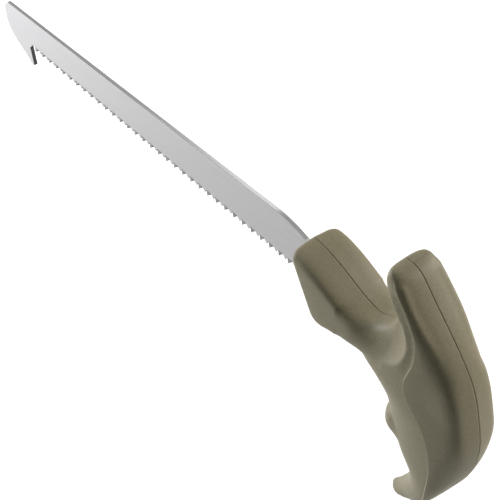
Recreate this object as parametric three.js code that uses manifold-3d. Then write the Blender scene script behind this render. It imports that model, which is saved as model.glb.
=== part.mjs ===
// Game saw: a fixed steel blade with a barbed tip, held by a moulded handle of two screwed halves.
// Millimetres. +X runs from the blade tip to the heel of the hand, +Z is up with the spine on top and
// the teeth below, and -Y is the left side. The origin lies in the middle of the grip.
import * as THREE from 'three';
import { mergeVertices } from 'three/addons/utils/BufferGeometryUtils.js';
import Module from 'manifold-3d';

// Blade, reaching forward from the front edge of the nose
const noseFront = -73.6;
const bladeReach = 228.9;
const bladeRoot = 1.4;
const bladeThickness = 2;
const spineHeight = 33;
const spineDip = 3.6;
const spineDipLength = 43;

// Teeth, counted forward from the heel tooth
const heelToothGap = 10.4;
const heelToothZ = 10;
const toothLineRise = 2;
const toothPitch = 3;
const toothHeight = 2.2;
const toothTipWidth = 0.3;
const toothSet = 0.4;

// Barbed tip, its places measured back from the tip
const tipCornerRadius = 4.5;
const tipShoulderZ = 24;
const tipBellyZ = 15.6;
const tipChinBack = 14.5;
const tipChinZ = 9.2;
const barbBack = 21;
const barbZ = 5;
const barbWidth = 3.2;
const barbPointDrop = 0.4;
const barbShoulderRise = 1;
const barbRootBack = 20.3;
const notchRoofZ = 14.6;
const notchEndBack = 27;
const notchEndZ = 16.6;

// Tang, the blade's stem inside the handle
const tangTop = 18.2;
const tangBottom = 10.4;
const tangShoulderX = -62;
const tangNeckX = -38;
const tangEnd = -7;
const tangClearance = 0.3;

// Handle shells
const wall = 2.6;
const partingGap = 0.3;
const ribThickness = 2;
const bossWall = 0.9;
const solidHorn = 12.6;
const solidHook = 12.2;

// Outside of the handle
const noseRake = 29;
const noseRakeFade = 36;
const noseEdgeRadius = 3.4;
const noseEdgeTurns = [0, 25, 50, 75];
const gripBackSquareness = 3.4;
const gripBackEdge = 8.5;
const flankTaper = 0.16;
const lipStep = 0.3;
const bumpX = -12;
const bumpZ = -25.2;
const bumpReach = 11.5;
const bumpHalfWidth = 8.5;
const bumpHalfHeight = 9.7;

// Finger dishes, hollowed from both flanks at the foot of the horn by a ball beside the handle
const dishX = -24;
const dishZ = 29;
const dishOut = 32;
const dishRadius = 25.2;

// Screws
const screwDiameter = 3;
const screwLength = 13;
const screwPointDiameter = 1;
const screwSeat = 6;
const screwHeadDiameter = 5.6;
const screwHeadHeight = 2;
const screwHeadEdge = 1;
const screwHeadCrown = 4.2;
const screwClearance = 0.3;
const driveWidth = 0.9;
const driveReach = 3;
const driveDepth = 1.1;

// Smoothness of the curved faces
const gripSteps = 8;
const noseSteps = 32;
const layerStep = 4;
const hollowGripSteps = 5;
const hollowNoseSteps = 20;
const hollowLayerStep = 8;
const roundSides = 16;
const dishSides = 40;
const screwSides = 12;
const curveSteps = 10;

// Nose sections: distance behind its front edge, top, bottom, half width, squareness.
const noseRows = [
  [0, 33.7, 4.4, 14, 4.6],
  [9.6, 32.7, 4.6, 14.4, 4.6],
  [19.6, 29.3, 5.6, 14.2, 4.2],
  [29.6, 24.9, 7.1, 13.7, 3.4],
  [36.6, 22.1, 7.4, 13.3, 2.8],
  [41.6, 21.4, 7.4, 12.9, 2.5],
  [47.6, 22.2, 7, 12.9, 2.4],
  [53.6, 25.2, 6.4, 12.9, 2.3],
  [60.6, 30.4, 5.6, 12.8, 2.3],
  [68.6, 33, 5, 12, 2.3],
];

// Grip sections from the lower hook to the top of the horn: height, front, back, half width, flank lip,
// roundness of the front.
const gripRows = [
  [-71, -11, -8, 2.4, -9.4, 2],
  [-70.2, -12.4, -6, 4, -8, 2],
  [-68.4, -13.1, -3.4, 5.4, -6.4, 2],
  [-65.6, -12, -0.6, 7, -3.4, 2],
  [-62.2, -9.7, 2.4, 8.6, -0.4, 2.2],
  [-58, -7.4, 5.6, 10, 3.6, 2.3],
  [-52, -4.6, 9.7, 11.3, 8, 2.4],
  [-45, -2.6, 14, 12.3, 10.8, 2.4],
  [-37, -4.4, 18, 12.9, 12, 2.4],
  [-30, -11, 20.9, 13.2, 12.6, 2.4],
  [-21, -16.4, 23.4, 13.3, 12.4, 2.4],
  [-12, -19.4, 24.9, 13.3, 10.4, 2.4],
  [-5, -23, 25.1, 13.3, 7, 2.4],
  [1, -31, 24.4, 13.2, 2, 2.4],
  [7, -40, 22.9, 13, -3.7, 2.4],
  [14, -40, 20, 12.7, -5.4, 2.3],
  [20, -34, 16.8, 12.5, -4.2, 2.4],
  [24, -25.8, 14.2, 12.4, -3.2, 2.6],
  [27, -22.4, 12, 12.4, -2.9, 2.8],
  [31, -20.2, 8.8, 12.4, -3, 3],
  [38, -18.8, 2.7, 12.5, -4.6, 3],
  [46, -20.8, -6.5, 12.4, -10.6, 3],
  [52, -22.6, -13.1, 12, -16, 3],
  [55, -23.2, -16.8, 11, -19, 2.8],
  [57, -23.4, -19.4, 9.6, -20.8, 2.6],
  [58, -23.2, -20.8, 8.2, -21.8, 2.4],
  [58.6, -22.6, -21.6, 5.8, -22, 2.4],
];

// Screw places in the side view. The first two go through the tang.
const tangMiddle = (tangTop + tangBottom) / 2;
const tangScrews = [
  [-56, tangMiddle],
  [-14, tangMiddle],
];
const gripScrews = [
  [-5, 36.5],
  [12, 2],
  [3, -30],
  [3.5, -52],
];
const screwPlaces = [...tangScrews, ...gripScrews];

// Cross ribs inside each shell, as heights in the grip and distances behind the nose's front edge.
const gripRibs = [26, 12, -16, -42];
const noseRibs = [10, 27];

const wasm = await Module();
wasm.setup();

const degrees = Math.PI / 180;
const beyond = 400;
const weldDistance = 0.004;
const mergeDistance = 1e-4;

// Joins and cuts work on closed meshes whose shared corners are merged.
function toSolid(geometry) {
  const bare = geometry.clone();
  bare.deleteAttribute('normal');
  bare.deleteAttribute('uv');
  const merged = mergeVertices(bare, mergeDistance);
  const vertProperties = new Float32Array(merged.attributes.position.array);
  const triVerts = new Uint32Array(merged.index.array);
  const mesh = new wasm.Mesh({ numProp: 3, vertProperties, triVerts, tolerance: weldDistance });
  return new wasm.Manifold(mesh);
}

function toGeometry(solid) {
  const mesh = solid.getMesh();
  const geometry = new THREE.BufferGeometry();
  geometry.setAttribute('position', new THREE.BufferAttribute(new Float32Array(mesh.vertProperties), 3));
  geometry.setIndex(new THREE.BufferAttribute(new Uint32Array(mesh.triVerts), 1));
  geometry.computeVertexNormals();
  return geometry;
}

// Box between two corners.
function block(low, high) {
  const size = high.map((value, axis) => value - low[axis]);
  const box = new THREE.BoxGeometry(...size);
  box.translate(...low.map((value, axis) => value + size[axis] / 2));
  return toSolid(box);
}

// Round bar across the handle, from one side to another.
function crossBar(x, z, diameter, fromY, toY) {
  const bar = new THREE.CylinderGeometry(diameter / 2, diameter / 2, toY - fromY, roundSides);
  bar.translate(x, (fromY + toY) / 2, z);
  return toSolid(bar);
}

// Outline in the side view, given thickness across the middle plane.
function sidePlate(shape, thickness) {
  const plate = new THREE.ExtrudeGeometry(shape, {
    depth: thickness,
    bevelEnabled: false,
    curveSegments: curveSteps,
  });
  plate.rotateX(Math.PI / 2);
  plate.translate(0, thickness / 2, 0);
  return plate;
}

// Places from one to another, with steps no longer than the one given.
function evenPlaces(from, to, step) {
  const count = Math.ceil((to - from) / step);
  return Array.from({ length: count + 1 }, (_, place) => THREE.MathUtils.lerp(from, to, place / count));
}

// Smooth values between the rows of a section table.
function smoothRows(rows) {
  const places = rows.map((row) => row[0]);
  const width = rows[0].length - 1;
  const values = rows.flatMap((row) => row.slice(1));
  const curve = new THREE.CubicInterpolant(places, values, width, new Float64Array(width));
  return (place) => Array.from(curve.evaluate(place));
}

// Skin over rings of equal point count, closed by a fan at each end.
function loft(rings) {
  const count = rings[0].length;
  const positions = rings.flat().flat();
  const index = [];
  for (let ring = 0; ring + 1 < rings.length; ring += 1) {
    for (let step = 0; step < count; step += 1) {
      const here = ring * count + step;
      const next = ring * count + (step + 1) % count;
      index.push(here, next, next + count, here, next + count, here + count);
    }
  }
  for (const ring of [0, rings.length - 1]) {
    const sumAlong = (axis) => rings[ring].reduce((sum, point) => sum + point[axis], 0);
    const centre = [0, 1, 2].map((axis) => sumAlong(axis) / count);
    const middle = positions.length / 3;
    positions.push(...centre);
    for (let step = 0; step < count; step += 1) {
      const here = ring * count + step;
      const next = ring * count + (step + 1) % count;
      if (ring === 0) {
        index.push(middle, next, here);
      } else {
        index.push(middle, here, next);
      }
    }
  }
  const skin = new THREE.BufferGeometry();
  skin.setAttribute('position', new THREE.Float32BufferAttribute(positions, 3));
  skin.setIndex(index);
  return toSolid(skin);
}

// Quarter of a rounded rectangle: 0 at the end of the first axis, 1 at the end of the second.
function roundedQuarter(share, squareness) {
  const angle = share * Math.PI / 2;
  const first = Math.max(Math.cos(angle), 0) ** (2 / squareness);
  const second = Math.max(Math.sin(angle), 0) ** (2 / squareness);
  return [first, second];
}

// Half section of the grip seen from above: rounded front, flank that steps out at the lip and falls away
// behind it, and a squarer back for the palm.
function gripHalf([front, back, halfWidth, lip, roundness], steps) {
  const half = [];
  for (let step = 0; step <= steps; step += 1) {
    const [along, across] = roundedQuarter(step / steps, roundness);
    half.push([lip - (lip - front) * along, halfWidth * across]);
  }
  const flankEnd = Math.max(lip + lipStep * 2, back - gripBackEdge);
  const edge = Math.min(flankEnd, (lip + lipStep + back) / 2);
  const widthAt = (x) => halfWidth + lipStep - flankTaper * (x - lip);
  half.push([lip + lipStep, widthAt(lip + lipStep)]);
  for (let step = 0; step <= steps; step += 1) {
    const [across, along] = roundedQuarter(step / steps, gripBackSquareness);
    const x = edge + (back - edge) * along;
    half.push([x, widthAt(x) * across]);
  }
  return half;
}

// Whole section of the grip at one height, drawn in all round by the inset.
const gripAt = smoothRows(gripRows);

function gripRing(z, inset, steps) {
  const section = gripAt(z);
  const [front, back, halfWidth] = section;
  const middle = (front + back) / 2;
  const depthShare = 1 - inset / (back - middle);
  const widthShare = 1 - inset / halfWidth;
  const drawIn = ([x, y]) => [middle + (x - middle) * depthShare, y * widthShare];
  const half = gripHalf(section, steps).map(drawIn);
  const left = half.slice(1, -1).map(([x, y]) => [x, -y, z]);
  const right = half.map(([x, y]) => [x, y, z]);
  return [...left, ...right.reverse()];
}

// Grip and horn, skinned over level sections.
const gripLow = gripRows[0][0];
const gripHigh = gripRows[gripRows.length - 1][0];

function gripLoft() {
  const heights = [gripLow];
  for (let row = 0; row + 1 < gripRows.length; row += 1) {
    heights.push(...evenPlaces(gripRows[row][0], gripRows[row + 1][0], layerStep).slice(1));
  }
  return loft(heights.map((z) => gripRing(z, 0, gripSteps)));
}

// Nose section at a distance behind its front edge, leaning back with the front face.
const noseAt = smoothRows(noseRows);
const noseLength = noseRows[noseRows.length - 1][0];

function noseRing(behind, inset, steps) {
  const [top, bottom, halfWidth, squareness] = noseAt(behind);
  const lean = Math.tan(noseRake * degrees) * (1 - THREE.MathUtils.smoothstep(behind, 0, noseRakeFade));
  const middle = (top + bottom) / 2;
  const ring = [];
  for (let step = 0; step < steps; step += 1) {
    const angle = step / steps * Math.PI * 2;
    const across = Math.sign(Math.cos(angle)) * Math.abs(Math.cos(angle)) ** (2 / squareness);
    const up = Math.sign(Math.sin(angle)) * Math.abs(Math.sin(angle)) ** (2 / squareness);
    const z = middle + ((top - bottom) / 2 - inset) * up;
    ring.push([noseFront + behind + (top - z) * lean, (halfWidth - inset) * across, z]);
  }
  return ring;
}

// Nose and neck with a rounded front edge.
function noseLoft() {
  const rings = [];
  for (const turn of noseEdgeTurns) {
    const behind = noseEdgeRadius * (1 - Math.cos(turn * degrees));
    rings.push(noseRing(behind, noseEdgeRadius * (1 - Math.sin(turn * degrees)), noseSteps));
  }
  for (const behind of evenPlaces(noseEdgeRadius, noseLength, layerStep)) {
    rings.push(noseRing(behind, 0, noseSteps));
  }
  return loft(rings);
}

// Finger stop on the front of the grip.
function frontBump() {
  const ball = new THREE.SphereGeometry(1, roundSides, roundSides / 2);
  ball.scale(bumpReach, bumpHalfWidth, bumpHalfHeight);
  ball.translate(bumpX, 0, bumpZ);
  return toSolid(ball);
}

// Ball beside the handle that hollows a finger dish from one flank. Growth leaves a wall behind the dish.
function dishBall(side, growth) {
  const ball = new THREE.SphereGeometry(dishRadius + growth, dishSides, dishSides / 2);
  ball.translate(dishX, side * dishOut, dishZ);
  return toSolid(ball);
}

// Hollow inside both shells, left solid behind the dishes, at the ribs and round the screws.
function handleHollow() {
  const bossDiameter = screwHeadDiameter + 2 * (screwClearance + bossWall);
  const heights = evenPlaces(gripLow + solidHook, gripHigh - solidHorn, hollowLayerStep);
  const distances = evenPlaces(wall, noseLength - wall, hollowLayerStep);
  const grip = loft(heights.map((z) => gripRing(z, wall, hollowGripSteps)));
  const nose = loft(distances.map((behind) => noseRing(behind, wall, hollowNoseSteps)));
  let hollow = grip.add(nose).subtract(dishBall(-1, wall)).subtract(dishBall(1, wall));
  for (const z of gripRibs) {
    const low = z - ribThickness / 2;
    hollow = hollow.subtract(block([tangNeckX, -beyond, low], [beyond, beyond, low + ribThickness]));
  }
  for (const behind of noseRibs) {
    const start = noseFront + behind - ribThickness / 2;
    hollow = hollow.subtract(block([start, -beyond, -beyond], [start + ribThickness, beyond, beyond]));
  }
  for (const [x, z] of screwPlaces) {
    hollow = hollow.subtract(crossBar(x, z, bossDiameter, -beyond, beyond));
  }
  return hollow;
}

// Upper curve and end of the tang. Growth widens it into the pocket that holds it.
function tangOutline(shape, growth) {
  const shoulder = spineHeight - spineDip + growth;
  const top = tangTop + growth;
  shape.bezierCurveTo(tangShoulderX, shoulder, tangShoulderX, top, tangNeckX, top);
  shape.lineTo(tangEnd + growth, top);
  shape.lineTo(tangEnd + growth, tangBottom - growth);
}

// Tooth points lie on a line that rises towards the tip.
const rootX = noseFront - bladeRoot;
const tipX = noseFront - bladeReach;
const heelToothX = noseFront - heelToothGap;
const toothRun = heelToothX - tipX - notchEndBack;
const toothCount = Math.floor(toothRun / toothPitch);
const toothLineZ = (x) => heelToothZ + (heelToothX - x) * Math.tan(toothLineRise * degrees);

function bladeShape() {
  const shape = new THREE.Shape();
  shape.moveTo(tipX + tipCornerRadius, spineHeight);
  shape.lineTo(rootX - spineDipLength, spineHeight);
  shape.quadraticCurveTo(rootX - spineDipLength / 2, spineHeight, rootX, spineHeight - spineDip);
  tangOutline(shape, 0);
  shape.lineTo(heelToothX + toothPitch, tangBottom);
  shape.lineTo(heelToothX + toothPitch / 2, toothLineZ(heelToothX) + toothHeight);
  for (let tooth = 0; tooth < toothCount; tooth += 1) {
    const x = heelToothX - tooth * toothPitch;
    const next = x - toothPitch / 2;
    shape.lineTo(x + toothTipWidth / 2, toothLineZ(x));
    shape.lineTo(x - toothTipWidth / 2, toothLineZ(x));
    shape.lineTo(next, toothLineZ(next) + toothHeight);
  }
  shape.lineTo(tipX + notchEndBack, notchEndZ);
  shape.lineTo(tipX + barbRootBack, notchRoofZ);
  shape.lineTo(tipX + barbBack, barbZ);
  shape.lineTo(tipX + barbBack - barbWidth / 2, barbZ - barbPointDrop);
  shape.lineTo(tipX + barbBack - barbWidth, barbZ + barbShoulderRise);
  shape.lineTo(tipX + tipChinBack, tipChinZ);
  shape.quadraticCurveTo(tipX, tipBellyZ, tipX, tipShoulderZ);
  const cornerX = tipX + tipCornerRadius;
  const cornerZ = spineHeight - tipCornerRadius;
  shape.absarc(cornerX, cornerZ, tipCornerRadius, Math.PI, Math.PI / 2, true);
  return shape;
}

function pocketShape() {
  const shape = new THREE.Shape();
  shape.moveTo(rootX, spineHeight - spineDip + tangClearance);
  tangOutline(shape, tangClearance);
  shape.lineTo(rootX, tangBottom - tangClearance);
  return shape;
}

// Alternate teeth lean to either side of the plate.
function setTeeth(plate) {
  const position = plate.attributes.position;
  for (let corner = 0; corner < position.count; corner += 1) {
    const x = position.getX(corner);
    const tooth = Math.round((heelToothX - x) / toothPitch);
    const height = position.getZ(corner) - toothLineZ(x);
    if (tooth >= 0 && tooth < toothCount && height < toothHeight / 2) {
      const side = tooth % 2 === 0 ? -1 : 1;
      position.setY(corner, position.getY(corner) + side * toothSet);
    }
  }
}

const screwHole = screwDiameter + 2 * screwClearance;

function bladeSolid() {
  const plate = sidePlate(bladeShape(), bladeThickness);
  setTeeth(plate);
  let blade = toSolid(plate);
  for (const [x, z] of tangScrews) {
    blade = blade.subtract(crossBar(x, z, screwHole, -bladeThickness, bladeThickness));
  }
  return blade;
}

// One half of the handle. Side is -1 on the left and 1 on the right, where the screw heads sit.
function shellSolid(side) {
  const near = partingGap / 2;
  const halfSpace = side < 0
    ? block([-beyond, -beyond, -beyond], [beyond, -near, beyond])
    : block([-beyond, near, -beyond], [beyond, beyond, beyond]);
  const outside = gripLoft().add(noseLoft()).add(frontBump()).subtract(dishBall(side, 0));
  let shell = outside.intersect(halfSpace).subtract(handleHollow());
  shell = shell.subtract(toSolid(sidePlate(pocketShape(), bladeThickness + 2 * tangClearance)));
  const recess = screwHeadDiameter + 2 * screwClearance;
  for (const [x, z] of screwPlaces) {
    shell = shell.subtract(crossBar(x, z, screwHole, screwSeat - screwLength - screwClearance, screwSeat));
    shell = shell.subtract(crossBar(x, z, recess, screwSeat - screwClearance, beyond));
  }
  return shell;
}

// Pan head screw along Y with a cross drive.
function screwSolid() {
  const end = screwSeat - screwLength;
  const top = screwSeat + screwHeadHeight;
  const profile = [
    [0, end],
    [screwPointDiameter / 2, end],
    [screwDiameter / 2, end + screwDiameter],
    [screwDiameter / 2, screwSeat],
    [screwHeadDiameter / 2, screwSeat],
    [screwHeadDiameter / 2, screwSeat + screwHeadEdge],
    [screwHeadCrown / 2, top],
    [0, top],
  ].map(([radius, y]) => new THREE.Vector2(radius, y));
  let screw = toSolid(new THREE.LatheGeometry(profile, screwSides));
  for (const [across, up] of [[driveReach, driveWidth], [driveWidth, driveReach]]) {
    const low = [-across / 2, top - driveDepth, -up / 2];
    const high = [across / 2, top + driveDepth, up / 2];
    screw = screw.subtract(block(low, high));
  }
  return screw;
}

const steel = { color: 0xc6c8ca, roughness: 0.32, metalness: 1 };
const olivePlastic = { color: 0x767059, roughness: 0.55, metalness: 0 };
const zincPlate = { color: 0x9a9c9e, roughness: 0.4, metalness: 1 };

const saw = new THREE.Group();

function addPiece(name, solid, finish) {
  const mesh = new THREE.Mesh(toGeometry(solid), new THREE.MeshStandardMaterial(finish));
  mesh.name = name;
  saw.add(mesh);
  return mesh;
}

addPiece('saw_blade', bladeSolid(), steel);
addPiece('handle_left_shell', shellSolid(-1), olivePlastic);
addPiece('handle_right_shell', shellSolid(1), olivePlastic);
screwPlaces.forEach(([x, z], place) => {
  const screw = addPiece(`shell_screw_${place + 1}`, screwSolid(), zincPlate);
  screw.position.set(x, 0, z);
});

export default saw;
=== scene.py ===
import math

import bmesh
import bpy
from mathutils import Matrix, Vector


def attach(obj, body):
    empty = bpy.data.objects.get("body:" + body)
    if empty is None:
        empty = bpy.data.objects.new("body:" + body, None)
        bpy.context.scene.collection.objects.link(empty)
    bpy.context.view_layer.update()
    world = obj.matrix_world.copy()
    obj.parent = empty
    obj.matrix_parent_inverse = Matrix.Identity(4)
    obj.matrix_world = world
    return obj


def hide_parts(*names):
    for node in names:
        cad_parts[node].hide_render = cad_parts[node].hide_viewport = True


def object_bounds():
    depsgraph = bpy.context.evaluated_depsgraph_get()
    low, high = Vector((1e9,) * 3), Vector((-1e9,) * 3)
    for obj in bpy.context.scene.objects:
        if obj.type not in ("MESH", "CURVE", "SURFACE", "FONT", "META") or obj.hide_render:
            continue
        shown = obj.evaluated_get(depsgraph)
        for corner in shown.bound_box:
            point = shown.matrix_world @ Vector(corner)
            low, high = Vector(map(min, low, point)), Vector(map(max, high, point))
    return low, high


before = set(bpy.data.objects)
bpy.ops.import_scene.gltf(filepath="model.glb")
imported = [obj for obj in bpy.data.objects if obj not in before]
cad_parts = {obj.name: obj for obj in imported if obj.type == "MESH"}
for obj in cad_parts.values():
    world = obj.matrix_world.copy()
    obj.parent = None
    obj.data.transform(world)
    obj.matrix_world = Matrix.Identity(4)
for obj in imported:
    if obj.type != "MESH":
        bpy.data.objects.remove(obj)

cad_box = [list(corner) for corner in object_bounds()]


# Saw blade. One plate of stainless steel, ground on its faces and spine and punched along its teeth.
# Each face has its own outline, because the teeth are set to either side and filed on their rear flanks.
# The tang lies in a pocket between the handle's halves, where two screws go through it.
MM = 0.001  # sizes are in millimetres, and each finished mesh is scaled to metres
NOSE_FRONT = -73.6  # front edge of the handle's nose, at its top
BLADE_ROOT = NOSE_FRONT - 1.4
BLADE_TIP = NOSE_FRONT - 228.9
BLADE_THICKNESS = 2
SPINE_HEIGHT = 33
SPINE_DIP = 3.6
SPINE_DIP_LENGTH = 20
SPINE_EDGE = 0.15
HEEL_TOOTH_X = NOSE_FRONT - 10.4
HEEL_TOOTH_Z = 9.4
TOOTH_LINE_RISE = math.radians(1.7)
TOOTH_PITCH = 3
TOOTH_HEIGHT = 2.6
TOOTH_TIP_WIDTH = 0.3
TOOTH_SET = 0.35
TOOTH_FLEAM = 0.7  # how far filing brings the rear corner of a tooth's tip forward
TOOTH_FLEAM_RATIO = 3  # how many times further that is than at the tip's front corner
TOOTH_OUTLINE_POINTS = 3  # two corners of the tip and a gullet
TIP_CORNER_RADIUS = 4.5
TIP_SHOULDER_Z = 24
TIP_BELLY_Z = 15.6
TIP_CHIN = (14.8, 8.7)  # distance behind the tip, height
BARB_OUTLINE = [(23.4, 17.6), (20.3, 14.6), (21.9, 4.6), (20.3, 4), (18.6, 5.6)]  # the same
TANG_TOP = 18.2
TANG_BOTTOM = 10.4
TANG_SHOULDER_X = -62
TANG_NECK_X = -38
TANG_END = -7
TANG_SCREWS = [(-56, 14.3), (-14, 14.3)]  # x, height
SCREW_DIAMETER = 3
SCREW_CLEARANCE = 0.3
CURVE_STEPS = 14
HOLE_STEPS = 32
SIDE_FACING = 0.9  # a face is on a side of the blade when its normal points sideways by more than this
TOP_FACING = 0.5  # and on the spine when it points up by more than this
FILED_SHADE_STAND = TOOTH_SET / 4  # teeth that stand out from their side by more than this get darker steel on their faces, as painted shade
GRAIN_DETAIL = 4
GRAIN_SPREAD = (0.3, 0.7)  # noise values that take the first and the second colour of a finish


def curve_points(start, control, end):
    """Points along a quadratic curve, without its start."""
    points = []
    for step in range(1, CURVE_STEPS + 1):
        share = step / CURVE_STEPS
        rest = 1 - share
        points.append(tuple(rest * rest * a + 2 * rest * share * b + share * share * c
                            for a, b, c in zip(start, control, end)))
    return points


def tang_outline(growth):
    """Upper curve and end of the tang in the side view, widened by the growth."""
    shoulder = (BLADE_ROOT, SPINE_HEIGHT - SPINE_DIP + growth)
    neck = (TANG_NECK_X, TANG_TOP + growth)
    middle = (TANG_SHOULDER_X, (shoulder[1] + neck[1]) / 2)
    points = [shoulder]
    points += curve_points(shoulder, (TANG_SHOULDER_X, shoulder[1]), middle)
    points += curve_points(middle, (TANG_SHOULDER_X, neck[1]), neck)
    points += [(TANG_END + growth, neck[1]), (TANG_END + growth, TANG_BOTTOM - growth)]
    return points


def rear_outline():
    """The spine's dip and the tang in the side view, as far as the heel of the teeth."""
    dip_start = (BLADE_ROOT - SPINE_DIP_LENGTH, SPINE_HEIGHT)
    dip_middle = (BLADE_ROOT - SPINE_DIP_LENGTH / 2, SPINE_HEIGHT)
    dip = [dip_start] + curve_points(dip_start, dip_middle, (BLADE_ROOT, SPINE_HEIGHT - SPINE_DIP))
    return dip + tang_outline(0)[1:] + [(HEEL_TOOTH_X + TOOTH_PITCH, TANG_BOTTOM)]


def tooth_line(x):
    """Height of the tooth points, on a line that rises towards the tip."""
    return HEEL_TOOTH_Z + (HEEL_TOOTH_X - x) * math.tan(TOOTH_LINE_RISE)


def tooth_points(side):
    """Teeth of one face from the heel forward, alternately set. The teeth set to this face are filed."""
    y = side * BLADE_THICKNESS / 2
    gullet = HEEL_TOOTH_X + TOOTH_PITCH / 2
    points = [(gullet, y, tooth_line(gullet) + TOOTH_HEIGHT)]
    toothed_length = HEEL_TOOTH_X - BLADE_TIP - BARB_OUTLINE[0][0]
    for tooth in range(int(toothed_length / TOOTH_PITCH)):
        x = HEEL_TOOTH_X - tooth * TOOTH_PITCH
        lean = -1 if tooth % 2 == 0 else 1
        filed = TOOTH_FLEAM if lean == side else 0
        tip_y = y + lean * TOOTH_SET
        points.append((x + TOOTH_TIP_WIDTH / 2 - filed, tip_y, tooth_line(x)))
        points.append((x - TOOTH_TIP_WIDTH / 2 - filed / TOOTH_FLEAM_RATIO, tip_y, tooth_line(x)))
        gullet = x - TOOTH_PITCH / 2
        points.append((gullet, y, tooth_line(gullet) + TOOTH_HEIGHT))
    return points


def tip_outline():
    """The barb, the chin and the rounded tip in the side view, as far as the spine."""
    chin = (BLADE_TIP + TIP_CHIN[0], TIP_CHIN[1])
    points = [(BLADE_TIP + back, z) for back, z in BARB_OUTLINE] + [chin]
    points += curve_points(chin, (BLADE_TIP, TIP_BELLY_Z), (BLADE_TIP, TIP_SHOULDER_Z))
    for step in range(CURVE_STEPS + 1):
        turn = math.pi - math.pi / 2 * step / CURVE_STEPS
        points.append((BLADE_TIP + TIP_CORNER_RADIUS * (1 + math.cos(turn)),
                       SPINE_HEIGHT - TIP_CORNER_RADIUS * (1 - math.sin(turn))))
    return points


def blade_outline(side):
    """Outline of one face of the blade, from the spine's dip round the tang, the teeth and the tip."""
    y = side * BLADE_THICKNESS / 2
    rear = [(x, y, z) for x, z in rear_outline()]
    front = [(x, y, z) for x, z in tip_outline()]
    return rear + tooth_points(side) + front


def skin_rings(bm, rings):
    """Closed skin over rings of equal point count. Gives each ring's vertices."""
    circles, loops = [], []
    for ring in rings:
        circle = bmesh.ops.create_circle(bm, segments=len(ring), radius=1)["verts"]
        for vert, place in zip(circle, ring):
            vert.co = place
        circles.append(circle)
        loops.append(list({edge for vert in circle for edge in vert.link_edges}))
    for near, far in zip(loops, loops[1:]):
        bmesh.ops.bridge_loops(bm, edges=near + far)
    for loop in (loops[0], loops[-1]):
        bmesh.ops.contextual_create(bm, geom=loop)
    bmesh.ops.recalc_face_normals(bm, faces=bm.faces)
    return circles


def part_teeth(circle):
    """Parts the teeth from one face of the blade, along lines from gullet to gullet."""
    first = len(rear_outline())
    gullets = circle[first:first + len(tooth_points(1)):TOOTH_OUTLINE_POINTS]
    for near, far in zip(gullets, gullets[1:]):
        face = (set(near.link_faces) & set(far.link_faces)).pop()
        bmesh.utils.face_split(face, near, far)


def cross_bar(bm, place, radius, start, end):
    """Round bar across the saw."""
    turn = Matrix.Rotation(math.radians(90), 4, "X")
    middle = Matrix.Translation((place[0], (start + end) / 2, place[1]))
    bmesh.ops.create_cone(bm, cap_ends=True, segments=HOLE_STEPS, radius1=radius, radius2=radius,
                          depth=end - start, matrix=middle @ turn)


def mesh_object(name, bm):
    """Object at the origin with the mesh."""
    mesh = bpy.data.meshes.new(name)
    bm.to_mesh(mesh)
    bm.free()
    piece = bpy.data.objects.new(name, mesh)
    bpy.context.scene.collection.objects.link(piece)
    return piece


def settled_mesh(piece):
    """The piece's mesh with its modifiers worked in. The piece itself goes."""
    bm = bmesh.new()
    bm.from_object(piece, bpy.context.evaluated_depsgraph_get())
    bpy.data.objects.remove(piece)
    return bm


def cut_away(bm, cutter_bm, solver="MANIFOLD"):
    """Solid less another solid."""
    body = mesh_object("body", bm)
    cutter = mesh_object("cutter", cutter_bm)
    cut = body.modifiers.new("cut", "BOOLEAN")
    cut.object = cutter
    cut.operation = "DIFFERENCE"
    cut.solver = solver
    cut.use_self = solver == "EXACT"
    rest = settled_mesh(body)
    bpy.data.objects.remove(cutter)
    return rest


def finished_piece(name, bm, materials, node):
    """Object in metres that stands for the node of the frame and rides with it."""
    bmesh.ops.scale(bm, vec=(MM, MM, MM), verts=bm.verts)
    piece = mesh_object(name, bm)
    for material in materials:
        piece.data.materials.append(material)
    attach(piece, "root")
    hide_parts(node)
    return piece


def grain_group():
    """Shader group of mottled grain in the object's own space, as a mask and a relief."""
    group = bpy.data.node_groups.new("grain", "ShaderNodeTree")
    group.interface.new_socket("Density", in_out="INPUT", socket_type="NodeSocketVector")
    group.interface.new_socket("Relief", in_out="INPUT", socket_type="NodeSocketFloat")
    group.interface.new_socket("Mask", in_out="OUTPUT", socket_type="NodeSocketFloat")
    group.interface.new_socket("Normal", in_out="OUTPUT", socket_type="NodeSocketVector")
    nodes, links = group.nodes, group.links
    given = nodes.new("NodeGroupInput")
    result = nodes.new("NodeGroupOutput")
    place = nodes.new("ShaderNodeTexCoord")
    stretch = nodes.new("ShaderNodeVectorMath")
    stretch.operation = "MULTIPLY"
    noise = nodes.new("ShaderNodeTexNoise")
    noise.inputs["Scale"].default_value = 1
    noise.inputs["Detail"].default_value = GRAIN_DETAIL
    relief = nodes.new("ShaderNodeBump")
    links.new(place.outputs["Object"], stretch.inputs[0])
    links.new(given.outputs["Density"], stretch.inputs[1])
    links.new(stretch.outputs["Vector"], noise.inputs["Vector"])
    links.new(noise.outputs["Fac"], result.inputs["Mask"])
    links.new(noise.outputs["Fac"], relief.inputs["Height"])
    links.new(given.outputs["Relief"], relief.inputs["Distance"])
    links.new(relief.outputs["Normal"], result.inputs["Normal"])
    return group


GRAIN = grain_group()


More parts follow.
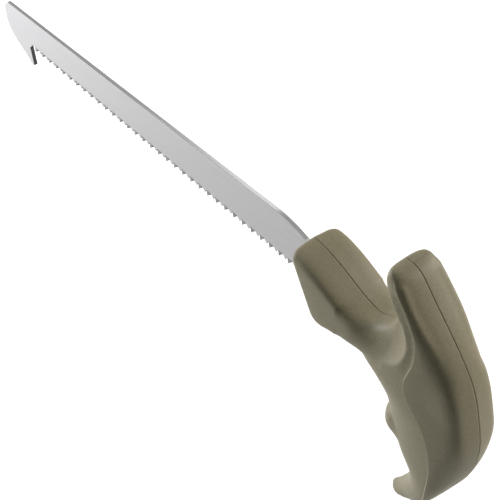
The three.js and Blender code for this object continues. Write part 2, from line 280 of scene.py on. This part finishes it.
def grained_material(name, colours, roughness, metallic, density, relief):
    """Material whose colour and roughness follow a grain. Density is in spots per metre on each axis."""
    material = bpy.data.materials.new(name)
    material.use_nodes = True
    nodes, links = material.node_tree.nodes, material.node_tree.links
    shader = nodes["Principled BSDF"]
    shader.inputs["Metallic"].default_value = metallic
    grain = nodes.new("ShaderNodeGroup")
    grain.node_tree = GRAIN
    grain.inputs["Density"].default_value = density
    grain.inputs["Relief"].default_value = relief
    colour = nodes.new("ShaderNodeValToRGB")
    for stop, position, value in zip(colour.color_ramp.elements, GRAIN_SPREAD, colours):
        stop.position = position
        stop.color = (*value, 1)
    sheen = nodes.new("ShaderNodeMapRange")
    sheen.inputs["From Min"].default_value = GRAIN_SPREAD[0]
    sheen.inputs["From Max"].default_value = GRAIN_SPREAD[1]
    sheen.inputs["To Min"].default_value = roughness[0]
    sheen.inputs["To Max"].default_value = roughness[1]
    links.new(grain.outputs["Mask"], colour.inputs["Fac"])
    links.new(grain.outputs["Mask"], sheen.inputs["Value"])
    links.new(grain.outputs["Normal"], shader.inputs["Normal"])
    links.new(colour.outputs["Color"], shader.inputs["Base Color"])
    links.new(sheen.outputs["Result"], shader.inputs["Roughness"])
    return material


ground_steel = grained_material(
    "ground_steel", colours=[(0.354, 0.352, 0.348), (0.392, 0.39, 0.386)], roughness=(0.3, 0.4),
    metallic=1, density=(30, 300, 1400), relief=2e-6)
# Darker steel on the spine: painted shade, standing in for a dimmer reflection along it.
spine_steel_painted_shade = grained_material(
    "spine_steel_painted_shade", colours=[(0.24, 0.238, 0.234), (0.31, 0.308, 0.304)], roughness=(0.2, 0.3),
    metallic=1, density=(25, 2500, 60), relief=2e-6)
# Darker steel on the faces of the teeth set towards each side: painted shade in their reflection. The
# filing itself is in the teeth's outline.
filed_steel_painted_shade = grained_material(
    "filed_steel_painted_shade", colours=[(0.17, 0.17, 0.166), (0.25, 0.25, 0.244)], roughness=(0.25, 0.4),
    metallic=1, density=(900, 300, 900), relief=4e-6)
# Near-black steel on the punched edges, the teeth's flanks and the barb: a painted dark reflection. The
# roughness is that of a cut edge.
punched_steel_painted_dark = grained_material(
    "punched_steel_painted_dark", colours=[(0.03, 0.03, 0.03), (0.09, 0.09, 0.09)], roughness=(0.4, 0.6),
    metallic=1, density=(1200, 60, 1200), relief=1e-5)
blade_finishes_and_shades = [ground_steel, spine_steel_painted_shade, punched_steel_painted_dark, filed_steel_painted_shade]


def blade_finish_and_shade(face):
    """Material of a face of the blade, for a side, a filed tooth, the spine and a punched edge. All but the
    side are darker steel, as painted shade.
    """
    middle = face.calc_center_median()
    if abs(face.normal.y) > SIDE_FACING:
        stands_out = abs(middle.y) > BLADE_THICKNESS / 2 + FILED_SHADE_STAND
        return filed_steel_painted_shade if stands_out else ground_steel
    on_spine = face.normal.z > TOP_FACING and middle.x < TANG_SHOULDER_X
    return spine_steel_painted_shade if on_spine else punched_steel_painted_dark


blade_bm = bmesh.new()
for circle in skin_rings(blade_bm, [blade_outline(-1), blade_outline(1)]):
    part_teeth(circle)
blade_bm.normal_update()
for face in blade_bm.faces:
    face.material_index = blade_finishes_and_shades.index(blade_finish_and_shade(face))
side_and_spine = {blade_finishes_and_shades.index(ground_steel), blade_finishes_and_shades.index(spine_steel_painted_shade)}
spine_edges = [edge for edge in blade_bm.edges
               if {face.material_index for face in edge.link_faces} == side_and_spine]
bmesh.ops.bevel(blade_bm, geom=spine_edges, offset=SPINE_EDGE, segments=2, profile=0.5,
                affect="EDGES", material=-1)
tang_holes = bmesh.new()
for place in TANG_SCREWS:
    cross_bar(tang_holes, place, SCREW_DIAMETER / 2 + SCREW_CLEARANCE, -BLADE_THICKNESS, BLADE_THICKNESS)
blade_bm = cut_away(blade_bm, tang_holes)
finished_piece("blade", blade_bm, blade_finishes_and_shades, "saw_blade")


# Handle halves. The grip, horn and nose of the saw: a moulding in olive drab plastic with a fine grain, in
# two halves that part in the blade's plane and are screwed together round the tang. One skin is fused from
# sections, a finger stop and two dishes, then split, and each half gets its pocket and screw holes.
NOSE_RAKE = math.radians(29)
NOSE_RAKE_FADE = 36  # distance behind the front edge where the rake has run out
NOSE_EDGE_RADIUS = 3.4
NOSE_EDGE_TURN = 15  # degrees between the sections of the rounded front edge
NOSE_ROWS = [  # distance behind the front edge, top, bottom, half width, squareness
    (0, 33.7, 4.4, 13.3, 9),
    (9.6, 32.4, 4.6, 13.5, 9),
    (19.6, 29, 5.6, 13.5, 9),
    (29.6, 24.6, 6.5, 13.4, 8),
    (36.6, 22.1, 6.5, 13.4, 6),
    (41.6, 21.4, 6.3, 13.1, 4),
    (47.6, 22.2, 6.2, 12.9, 2.4),
    (53.6, 25.2, 6.2, 12.9, 2.3),
    (60.6, 30.4, 5.6, 12.8, 2.3),
    (68.6, 33, 5, 12, 2.3),
]
NOSE_CROWN = 1.3  # how far the top falls to its sides
GRIP_ROWS = [  # height, front, back, half width, flank lip, squareness of the front and of the back
    (-69.9, -13.8, -9.8, 3.4, -11, 1.5, 2),
    (-69.1, -14.8, -7.4, 4.8, -9, 1.5, 2),
    (-67.4, -13.6, -4.6, 5.6, -6.8, 1.5, 2),
    (-65, -11.8, -1, 6.2, -3.6, 1.6, 2.2),
    (-62, -10, 3.1, 6.8, -0.4, 1.8, 2.4),
    (-58, -7.8, 6.5, 8.2, 3.6, 2.1, 2.6),
    (-52, -4.6, 10.4, 10.3, 8, 2.4, 2.8),
    (-45, -2.6, 14.2, 12, 10.8, 2.4, 2.7),
    (-37, -4.4, 18.2, 13.1, 12, 2.4, 2.7),
    (-30, -11, 21.2, 13.5, 12.6, 2.4, 2.7),
    (-21, -16.4, 23.6, 13.7, 12.4, 2.4, 3),
    (-12, -19.4, 24.4, 13.8, 10.4, 2.4, 4.4),
    (-5, -23, 23.9, 13.8, 7, 2.4, 6.8),
    (1, -31, 22.7, 13.7, 2, 2.4, 8),
    (7, -40, 21.1, 13.7, -3.7, 2.4, 8.4),
    (14, -40, 19, 13.6, -5.4, 2.3, 8),
    (20, -34, 16.3, 13.3, -4.2, 2.4, 6.6),
    (24, -25.8, 13.9, 12.9, -3.2, 2.6, 4.4),
    (27, -22.4, 11.6, 12.8, -2.9, 2.8, 3.8),
    (31, -19.6, 8.3, 12.5, -3, 3, 3.2),
    (38, -17.8, 2, 12.2, -4.6, 3.2, 2.5),
    (46, -21.8, -5.7, 11.8, -10.4, 3.8, 2.3),
    (52, -24.4, -11.1, 11.4, -15.8, 3.6, 2.3),
    (55, -24.4, -14, 10.8, -18.2, 3.2, 2.5),
    (56.6, -24, -16.4, 10.1, -19.8, 3, 2.6),
    (57.6, -23.2, -19, 8.9, -20.8, 2.6, 2.6),
]
LIP_COLUMN = 3  # where the flank lip stands among a grip section's values after its height
SHOULDER_DROP = (0.8, 2)  # narrowing behind the lip, at the grip's ends and in its middle
RIDGE_HEIGHT = 1.5  # of the ridge along the seam on the back, in the grip's middle
MIDDLE_ENDS = (-50, -25, 14, 40)  # heights where the grip's middle starts, is full, fades and ends
FINGER_STOP_PLACE = (-11, 0, -21)
FINGER_STOP_HALF = (9.8, 11.5, 8.2)
FINGER_STOP_STEPS = 48
DISH_PLACE = (-23.5, 32, 29.6)  # centre of the ball that dishes the right flank, mirrored for the left
DISH_RADIUS = 25.2
DISH_STEPS = 96
SECTION_STEP = 1.2
QUARTER_STEPS = 24
RING_STEPS = 96
VOXEL = 0.6
SMOOTHING_FACTOR = 0.5
SMOOTHING_PASSES = 5
SOFT_SPACES = [  # low and high corners, on both flanks, where the dish and the finger stop run out softly
    ((-44, 4, 7), (-18, 20, 31)),
    ((-24, 3, -42), (-6, 16, -18)),
]
SOFT_PASSES = 90
LIP_STEP = 0.6  # how far the flank steps out at its lip
LIP_RISE = (-0.4, 0.2)  # distances behind the lip where the step starts and is full
LIP_FADE = (0.4, 14)  # distances behind the lip where it starts to fade and is gone
LIP_ENDS = (-56, -36, 53, 56)  # heights where the lip starts, is full, fades and ends
HOLLOW_DEPTH = 2  # of the hollow ahead of the lip, on the horn
HOLLOW_WIDTH = 5.5
HOLLOW_SKEW = 0.4  # the smaller, the nearer to the lip the hollow is deepest
HOLLOW_ENDS = (16, 26, 48, 54)  # heights, as for the lip
FLANK_FACING = (0.2, 0.5)  # sideways part of the normal where the lip starts and is full
FINE_FACING = 0.3  # sideways part of the normal from which the lip's strip is made finer
FINE_BAND = 1.1  # half width of the finer strips along the lip and the seam
FINE_CUTS = 3
PARTING_GAP = 0.18
SEAM_ROUNDING = 0.35
SEAM_DEPTH = 0.18
TANG_CLEARANCE = 0.3
SCREW_PLACES = TANG_SCREWS + [(-5, 36.5), (12, 2), (3, -30), (3.5, -52)]
SCREW_SEAT = 6
SCREW_LENGTH = 13
SCREW_HEAD_DIAMETER = 5.6
BEYOND = 40  # well outside the right flank
SHARP_ANGLE = math.radians(40)
PLASTIC_GLOSS = 0.22


def row_at(rows, place):
    """Values between the rows of a section table, on a smooth curve."""
    last = len(rows) - 2
    here = next((number for number in range(last) if place < rows[number + 1][0]), last)
    start, end = rows[here], rows[here + 1]
    before = rows[max(here - 1, 0)]
    after = rows[min(here + 2, last + 1)]
    span = end[0] - start[0]
    share = (place - start[0]) / span
    values = []
    for column in range(1, len(start)):
        slope_in = (end[column] - before[column]) / (end[0] - before[0])
        slope_out = (after[column] - start[column]) / (after[0] - start[0])
        values.append(
            (2 * share ** 3 - 3 * share ** 2 + 1) * start[column]
            + (share ** 3 - 2 * share ** 2 + share) * span * slope_in
            + (3 * share ** 2 - 2 * share ** 3) * end[column]
            + (share ** 3 - share ** 2) * span * slope_out)
    return values


def even_places(start, end, step):
    """Places from start to end, evenly spaced by the step or slightly less."""
    count = math.ceil((end - start) / step)
    return [start + (end - start) * number / count for number in range(count + 1)]


def smooth_share(place, start, end):
    """Share of the way from start to end, eased at both and kept between 0 and 1."""
    share = min(max((place - start) / (end - start), 0), 1)
    return share * share * (3 - 2 * share)


def share_between(place, low, low_full, high_full, high):
    """Share that rises from 0 at the low end to 1, and falls back to 0 at the high end."""
    return smooth_share(place, low, low_full) * (1 - smooth_share(place, high_full, high))


def rounded_quarter(share, squareness):
    """Quarter of a rounded rectangle: 0 at the end of the first axis, 1 at the end of the second."""
    angle = share * math.pi / 2
    return max(math.cos(angle), 0) ** (2 / squareness), max(math.sin(angle), 0) ** (2 / squareness)


def grip_ring(height):
    """Level section of the grip: rounded front, flank that falls away behind the lip, squarer back."""
    front, back, half_width, lip, front_squareness, back_squareness = row_at(GRIP_ROWS, height)
    middle = share_between(height, *MIDDLE_ENDS)
    drop = SHOULDER_DROP[0] + (SHOULDER_DROP[1] - SHOULDER_DROP[0]) * middle
    half = []
    for step in range(QUARTER_STEPS + 1):
        along, across = rounded_quarter(step / QUARTER_STEPS, front_squareness)
        half.append((lip - (lip - front) * along, half_width * across))
    for step in range(1, QUARTER_STEPS + 1):
        across, along = rounded_quarter(step / QUARTER_STEPS, back_squareness)
        x = lip + (back - lip) * along - RIDGE_HEIGHT * middle * across * along ** 2
        half.append((x, (half_width - drop * along) * across))
    left = [(x, -y, height) for x, y in half[1:-1]]
    right = [(x, y, height) for x, y in reversed(half)]
    return left + right


def nose_ring(behind, inset):
    """Section of the nose, leaning back with its front face."""
    top, bottom, half_width, squareness = row_at(NOSE_ROWS, behind)
    lean = math.tan(NOSE_RAKE) * (1 - smooth_share(behind, 0, NOSE_RAKE_FADE))
    ring = []
    for step in range(RING_STEPS):
        angle = step / RING_STEPS * math.tau
        across = math.copysign(abs(math.cos(angle)) ** (2 / squareness), math.cos(angle))
        up = math.copysign(abs(math.sin(angle)) ** (2 / squareness), math.sin(angle))
        crown = NOSE_CROWN * across ** 2 * max(up, 0)
        z = (top + bottom) / 2 + ((top - bottom) / 2 - inset) * up - crown
        ring.append((NOSE_FRONT + behind + (top - z) * lean, (half_width - inset) * across, z))
    return ring


def smooth_skin(bm, verts, passes):
    """Evens out a patch of skin."""
    for _ in range(passes):
        bmesh.ops.smooth_vert(bm, verts=verts, factor=SMOOTHING_FACTOR,
                              use_axis_x=True, use_axis_y=True, use_axis_z=True)


def in_space(place, low, high):
    """Whether a place, or the same one on the other flank, lies between two corners."""
    return all(least < here < most
               for least, here, most in zip(low, (place.x, abs(place.y), place.z), high))


def fused_handle():
    """The whole moulding as one smooth skin, with the dishes."""
    bm = bmesh.new()
    heights = even_places(GRIP_ROWS[0][0], GRIP_ROWS[-1][0], SECTION_STEP)
    skin_rings(bm, [grip_ring(height) for height in heights])
    turns = [math.radians(turn) for turn in range(0, 90, NOSE_EDGE_TURN)]
    rings = [nose_ring(NOSE_EDGE_RADIUS * (1 - math.cos(turn)), NOSE_EDGE_RADIUS * (1 - math.sin(turn)))
             for turn in turns]
    for behind in even_places(NOSE_EDGE_RADIUS, NOSE_ROWS[-1][0], SECTION_STEP):
        rings.append(nose_ring(behind, 0))
    skin_rings(bm, rings)
    stop = Matrix.Translation(FINGER_STOP_PLACE) @ Matrix.Diagonal((*FINGER_STOP_HALF, 1))
    bmesh.ops.create_uvsphere(bm, u_segments=FINGER_STOP_STEPS, v_segments=FINGER_STOP_STEPS // 2,
                              radius=1, matrix=stop)
    dishes = bmesh.new()
    for side in (-1, 1):
        centre = Matrix.Translation((DISH_PLACE[0], side * DISH_PLACE[1], DISH_PLACE[2]))
        bmesh.ops.create_uvsphere(dishes, u_segments=DISH_STEPS, v_segments=DISH_STEPS // 2,
                                  radius=DISH_RADIUS, matrix=centre)
    body = mesh_object("body", cut_away(bm, dishes, "EXACT"))
    fuse = body.modifiers.new("fuse", "REMESH")
    fuse.mode = "VOXEL"
    fuse.voxel_size = VOXEL
    skin = settled_mesh(body)
    smooth_skin(skin, skin.verts, SMOOTHING_PASSES)
    for low, high in SOFT_SPACES:
        soft = [vert for vert in skin.verts if in_space(vert.co, low, high)]
        smooth_skin(skin, soft, SOFT_PASSES)
    return skin


def lip_place(z):
    """How far back the flank's lip lies at a height."""
    height = min(max(z, GRIP_ROWS[0][0]), GRIP_ROWS[-1][0])
    return row_at(GRIP_ROWS, height)[LIP_COLUMN]


def behind_lip(place):
    """Distance behind the line along the flank where the surface steps out."""
    lip = lip_place(place.z)
    return (place.x - lip) / math.hypot(1, lip_place(place.z + 1) - lip)


def lip_height(place):
    """How far the flank stands out: a step behind its lip, and on the horn a hollow ahead of it."""
    behind = behind_lip(place)
    step = smooth_share(behind, *LIP_RISE) * (1 - smooth_share(behind, *LIP_FADE))
    height = LIP_STEP * step * share_between(place.z, *LIP_ENDS)
    ahead = -behind / HOLLOW_WIDTH
    if 0 < ahead < 1:
        hollow = HOLLOW_DEPTH * (1 - ahead) * ahead ** HOLLOW_SKEW
        height -= hollow * share_between(place.z, *HOLLOW_ENDS)
    return height


def add_lip_and_seam(bm):
    """Finer strips along the lip and the parting line, then the step, the hollow and the rounded seam."""
    low, high = LIP_ENDS[0], LIP_ENDS[-1]
    lip_verts = {vert for vert in bm.verts if abs(behind_lip(vert.co)) < FINE_BAND
                 and abs(vert.normal.y) > FINE_FACING and low < vert.co.z < high}
    seam_verts = {vert for vert in bm.verts if abs(vert.co.y) < FINE_BAND}
    fine = {face for vert in lip_verts | seam_verts for face in vert.link_faces}
    edges = list({edge for face in fine for edge in face.edges})
    bmesh.ops.subdivide_edges(bm, edges=edges, cuts=FINE_CUTS, use_grid_fill=True)
    bm.normal_update()
    moves = []
    for vert in bm.verts:
        move = Vector()
        if low < vert.co.z < high:
            move += vert.normal * lip_height(vert.co) * smooth_share(abs(vert.normal.y), *FLANK_FACING)
        closeness = min(1 - (abs(vert.co.y) - PARTING_GAP / 2) / SEAM_ROUNDING, 1)
        if closeness > 0:
            move -= Vector((vert.normal.x, 0, vert.normal.z)) * SEAM_DEPTH * closeness ** 2
        moves.append(move)
    for vert, move in zip(bm.verts, moves):
        vert.co += move


def handle_half(skin, side):
    """Half of the moulding, with the blade's pocket and the screw holes."""
    half = skin.copy()
    bmesh.ops.bisect_plane(half, geom=half.verts[:] + half.edges[:] + half.faces[:], clear_outer=True,
                           plane_co=(0, side * PARTING_GAP / 2, 0), plane_no=(0, -side, 0))
    bmesh.ops.holes_fill(half, edges=[edge for edge in half.edges if edge.is_boundary], sides=0)
    reach = BLADE_THICKNESS / 2 + TANG_CLEARANCE
    outline = tang_outline(TANG_CLEARANCE) + [(BLADE_ROOT, TANG_BOTTOM - TANG_CLEARANCE)]
    pocket, holes, recesses = bmesh.new(), bmesh.new(), bmesh.new()
    skin_rings(pocket, [[(x, y, z) for x, z in outline] for y in (-reach, reach)])
    for place in SCREW_PLACES:
        cross_bar(holes, place, SCREW_DIAMETER / 2 + SCREW_CLEARANCE,
                  SCREW_SEAT - SCREW_LENGTH - SCREW_CLEARANCE, SCREW_SEAT + SCREW_CLEARANCE)
        cross_bar(recesses, place, SCREW_HEAD_DIAMETER / 2 + SCREW_CLEARANCE,
                  SCREW_SEAT - SCREW_CLEARANCE, BEYOND)
    for cutter in (pocket, holes, recesses):
        half = cut_away(half, cutter)
    return half


def shade_smooth(piece):
    """Smooth shading that breaks at sharp edges."""
    for polygon in piece.data.polygons:
        polygon.use_smooth = True
    piece.data.set_sharp_from_angle(angle=SHARP_ANGLE)


olive_plastic = grained_material(
    "olive_plastic", colours=[(0.172, 0.155, 0.098), (0.208, 0.187, 0.12)], roughness=(0.46, 0.56),
    metallic=0, density=(900, 900, 900), relief=1.5e-5)
plastic_shader = olive_plastic.node_tree.nodes["Principled BSDF"]
plastic_shader.inputs["Specular IOR Level"].default_value = PLASTIC_GLOSS

skin = fused_handle()
add_lip_and_seam(skin)
for side, name in ((-1, "left"), (1, "right")):
    half = finished_piece(f"handle_{name}_half", handle_half(skin, side), [olive_plastic],
                          f"handle_{name}_shell")
    shade_smooth(half)
skin.free()


# Shell screws. Six zinc-plated pan head screws with a cross drive, sunk in the handle's right half and
# biting in the left. Each is a profile spun round its axis, with the drive cut into its head.
SCREW_POINT_DIAMETER = 1
SCREW_POINT_LENGTH = 3
SCREW_HEAD_EDGE = 0.6
SCREW_HEAD_CROWN = 1.4
HEAD_SQUARENESS = 3
HEAD_STEPS = 8
DRIVE_REACH = 3
DRIVE_WIDTH = 0.9
DRIVE_DEPTH = 1.1
DRIVE_TAPER = 0.6  # size of the cross at its bottom, as a share of that at the top
SPIN_STEPS = 40
MERGE_DISTANCE = 0.001


def screw_profile():
    """Half outline of a screw, as radius and place across the handle."""
    end = SCREW_SEAT - SCREW_LENGTH
    rim = SCREW_SEAT + SCREW_HEAD_EDGE
    outline = [
        (0, end),
        (SCREW_POINT_DIAMETER / 2, end),
        (SCREW_DIAMETER / 2, end + SCREW_POINT_LENGTH),
        (SCREW_DIAMETER / 2, SCREW_SEAT),
        (SCREW_HEAD_DIAMETER / 2, SCREW_SEAT),
    ]
    for step in range(HEAD_STEPS + 1):
        inward, up = rounded_quarter(step / HEAD_STEPS, HEAD_SQUARENESS)
        outline.append((SCREW_HEAD_DIAMETER / 2 * inward, rim + SCREW_HEAD_CROWN * up))
    return outline


def drive_ring(place, share, y):
    """Cross outline of the drive at one depth."""
    far, near = DRIVE_REACH / 2 * share, DRIVE_WIDTH / 2 * share
    arm = [(near, near), (near, far), (-near, far)]
    ring = []
    for quarter in range(4):
        angle = quarter * math.pi / 2
        cosine, sine = round(math.cos(angle)), round(math.sin(angle))
        ring += [(place[0] + x * cosine - z * sine, y, place[1] + x * sine + z * cosine) for x, z in arm]
    return ring


def screw_mesh(place):
    """A screw in its place in the handle, less its drive."""
    bm = bmesh.new()
    verts = [bm.verts.new((place[0] + radius, y, place[1])) for radius, y in screw_profile()]
    edges = [bm.edges.new(pair) for pair in zip(verts, verts[1:])]
    bmesh.ops.spin(bm, geom=verts + edges, cent=(place[0], 0, place[1]), axis=(0, 1, 0), angle=math.tau,
                   steps=SPIN_STEPS, use_merge=True)
    bmesh.ops.remove_doubles(bm, verts=bm.verts, dist=MERGE_DISTANCE)
    bmesh.ops.recalc_face_normals(bm, faces=bm.faces)
    top = SCREW_SEAT + SCREW_HEAD_EDGE + SCREW_HEAD_CROWN
    drive = bmesh.new()
    skin_rings(drive, [drive_ring(place, DRIVE_TAPER, top - DRIVE_DEPTH), drive_ring(place, 1, top),
                       drive_ring(place, 1, top + DRIVE_DEPTH)])
    return cut_away(bm, drive)


zinc_plate = grained_material(
    "zinc_plate", colours=[(0.5, 0.51, 0.53), (0.62, 0.63, 0.64)], roughness=(0.28, 0.42),
    metallic=1, density=(1500, 1500, 1500), relief=6e-6)
for number, place in enumerate(SCREW_PLACES, 1):
    screw = finished_piece(f"screw_{number}", screw_mesh(place), [zinc_plate],
                           f"shell_screw_{number}")
    shade_smooth(screw)


# Studio. A pale floor below the saw, a soft light from the left, a second from the right and behind, and a
# small one that runs along the spine. The camera looks down on the handle's left side. Sizes are in metres.
FLOOR_DROP = 0.10
FLOOR_SIZE = 6
FLOOR_COLOUR = (0.96, 0.96, 0.96, 1)
FLOOR_ROUGHNESS = 0.9
FILL_LEVEL = 0.04  # light of the surroundings on the saw
BACKDROP_LEVEL = 1  # the surroundings as the camera and shiny steel see them
HANDLE_TARGET = (-0.03, 0, 0)
SPINE_TARGET = (-0.12, 0, 0.033)
CAMERA_PLACE = (0.1797, -0.2453, 0.3605)
CAMERA_AZIMUTH = math.radians(49.82)
CAMERA_ELEVATION = math.radians(43.70)
CAMERA_LENS = 86.4  # millimetres, as the width of the sensor
SENSOR_WIDTH = 36

floor_bm = bmesh.new()
bmesh.ops.create_grid(floor_bm, x_segments=1, y_segments=1, size=FLOOR_SIZE,
                      matrix=Matrix.Translation((0, 0, cad_box[0][2] - FLOOR_DROP)))
floor = mesh_object("floor", floor_bm)
paper = bpy.data.materials.new("pale_floor")
paper.use_nodes = True
paper_shader = paper.node_tree.nodes["Principled BSDF"]
paper_shader.inputs["Base Color"].default_value = FLOOR_COLOUR
paper_shader.inputs["Roughness"].default_value = FLOOR_ROUGHNESS
floor.data.materials.append(paper)

world = bpy.data.worlds.new("studio")
bpy.context.scene.world = world
world.use_nodes = True
nodes, links = world.node_tree.nodes, world.node_tree.links
background = nodes["Background"]
background.inputs["Color"].default_value = (1, 1, 1, 1)
path = nodes.new("ShaderNodeLightPath")
seen = nodes.new("ShaderNodeMath")
seen.operation = "MAXIMUM"
strength = nodes.new("ShaderNodeMapRange")
strength.inputs["To Min"].default_value = FILL_LEVEL
strength.inputs["To Max"].default_value = BACKDROP_LEVEL
links.new(path.outputs["Is Camera Ray"], seen.inputs[0])
links.new(path.outputs["Is Glossy Ray"], seen.inputs[1])
links.new(seen.outputs["Value"], strength.inputs["Value"])
links.new(strength.outputs["Result"], background.inputs["Strength"])


def area_light(name, place, target, size, power, colour):
    """Round soft light that points at a target."""
    data = bpy.data.lights.new(name, "AREA")
    data.shape = "DISK"
    data.size = size
    data.energy = power
    data.color = colour
    lamp = bpy.data.objects.new(name, data)
    lamp.location = place
    lamp.rotation_euler = (Vector(target) - Vector(place)).to_track_quat("-Z", "Y").to_euler()
    bpy.context.scene.collection.objects.link(lamp)


area_light("left_light", place=(-1.12, -0.36, 0.32), target=HANDLE_TARGET, size=0.7, power=20.5,
           colour=(0.95, 0.96, 1))
area_light("right_back_light", place=(0.38, 0.95, 0.6), target=HANDLE_TARGET, size=0.6, power=18.5,
           colour=(1, 0.97, 0.92))
area_light("spine_light", place=(-0.67, 0.48, 0.71), target=SPINE_TARGET, size=0.2, power=0.29,
           colour=(1, 1, 1))

camera_data = bpy.data.cameras.new("camera")
camera_data.lens = CAMERA_LENS
camera_data.sensor_width = SENSOR_WIDTH
camera = bpy.data.objects.new("camera", camera_data)
level = math.cos(CAMERA_ELEVATION)
toward = Vector((math.sin(CAMERA_AZIMUTH) * level, -math.cos(CAMERA_AZIMUTH) * level,
                 math.sin(CAMERA_ELEVATION)))
camera.location = CAMERA_PLACE
camera.rotation_euler = toward.to_track_quat("Z", "Y").to_euler()
bpy.context.scene.collection.objects.link(camera)
bpy.context.scene.camera = camera
bpy.context.scene.view_settings.view_transform = "Standard"
